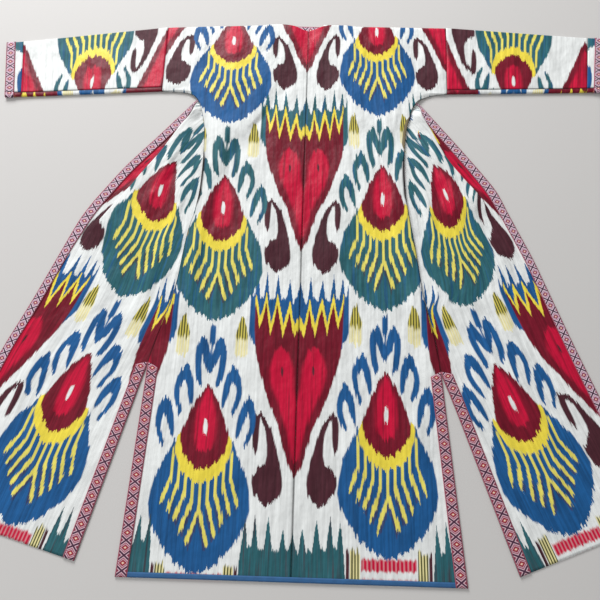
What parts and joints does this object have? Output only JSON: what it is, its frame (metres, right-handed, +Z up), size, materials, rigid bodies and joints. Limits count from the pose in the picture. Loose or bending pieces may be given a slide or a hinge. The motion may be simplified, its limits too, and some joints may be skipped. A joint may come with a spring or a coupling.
{
  "type": "uzbek chapan robe laid flat",
  "caption": "Long silk ikat chapan robe lying flat with its back up, sleeves straight out, fronts opened sideways, woven braid on its edges.",
  "frame": {"origin": "middle of the robe's box, on the surface it lies on", "axes": "+X towards the right sleeve as seen from above, +Y towards the shoulders, +Z up"},
  "size_m": [1.5378, 1.3262, 0.016],
  "materials": {
    "ikat_silk": "ikat silk with a soft sheen",
    "woven_braid": "patterned woven braid",
    "hem_cloth": "plain cotton"
  },
  "bodies": {
    "root": {"back_left": "ikat_silk", "back_right": "ikat_silk", "front_left": "ikat_silk", "front_right": "ikat_silk", "sleeve_left": "ikat_silk", "sleeve_right": "ikat_silk", "sleeve_end_left": "ikat_silk", "sleeve_end_right": "ikat_silk", "cuff_braid_left": "woven_braid", "cuff_braid_right": "woven_braid", "front_braid_left": "woven_braid", "front_braid_right": "woven_braid", "neck_braid": "woven_braid", "slit_braid_back_left": "woven_braid", "slit_braid_back_right": "woven_braid", "slit_braid_front_left": "woven_braid", "slit_braid_front_right": "woven_braid", "hem_binding": "hem_cloth"}
  },
  "joints": []
}
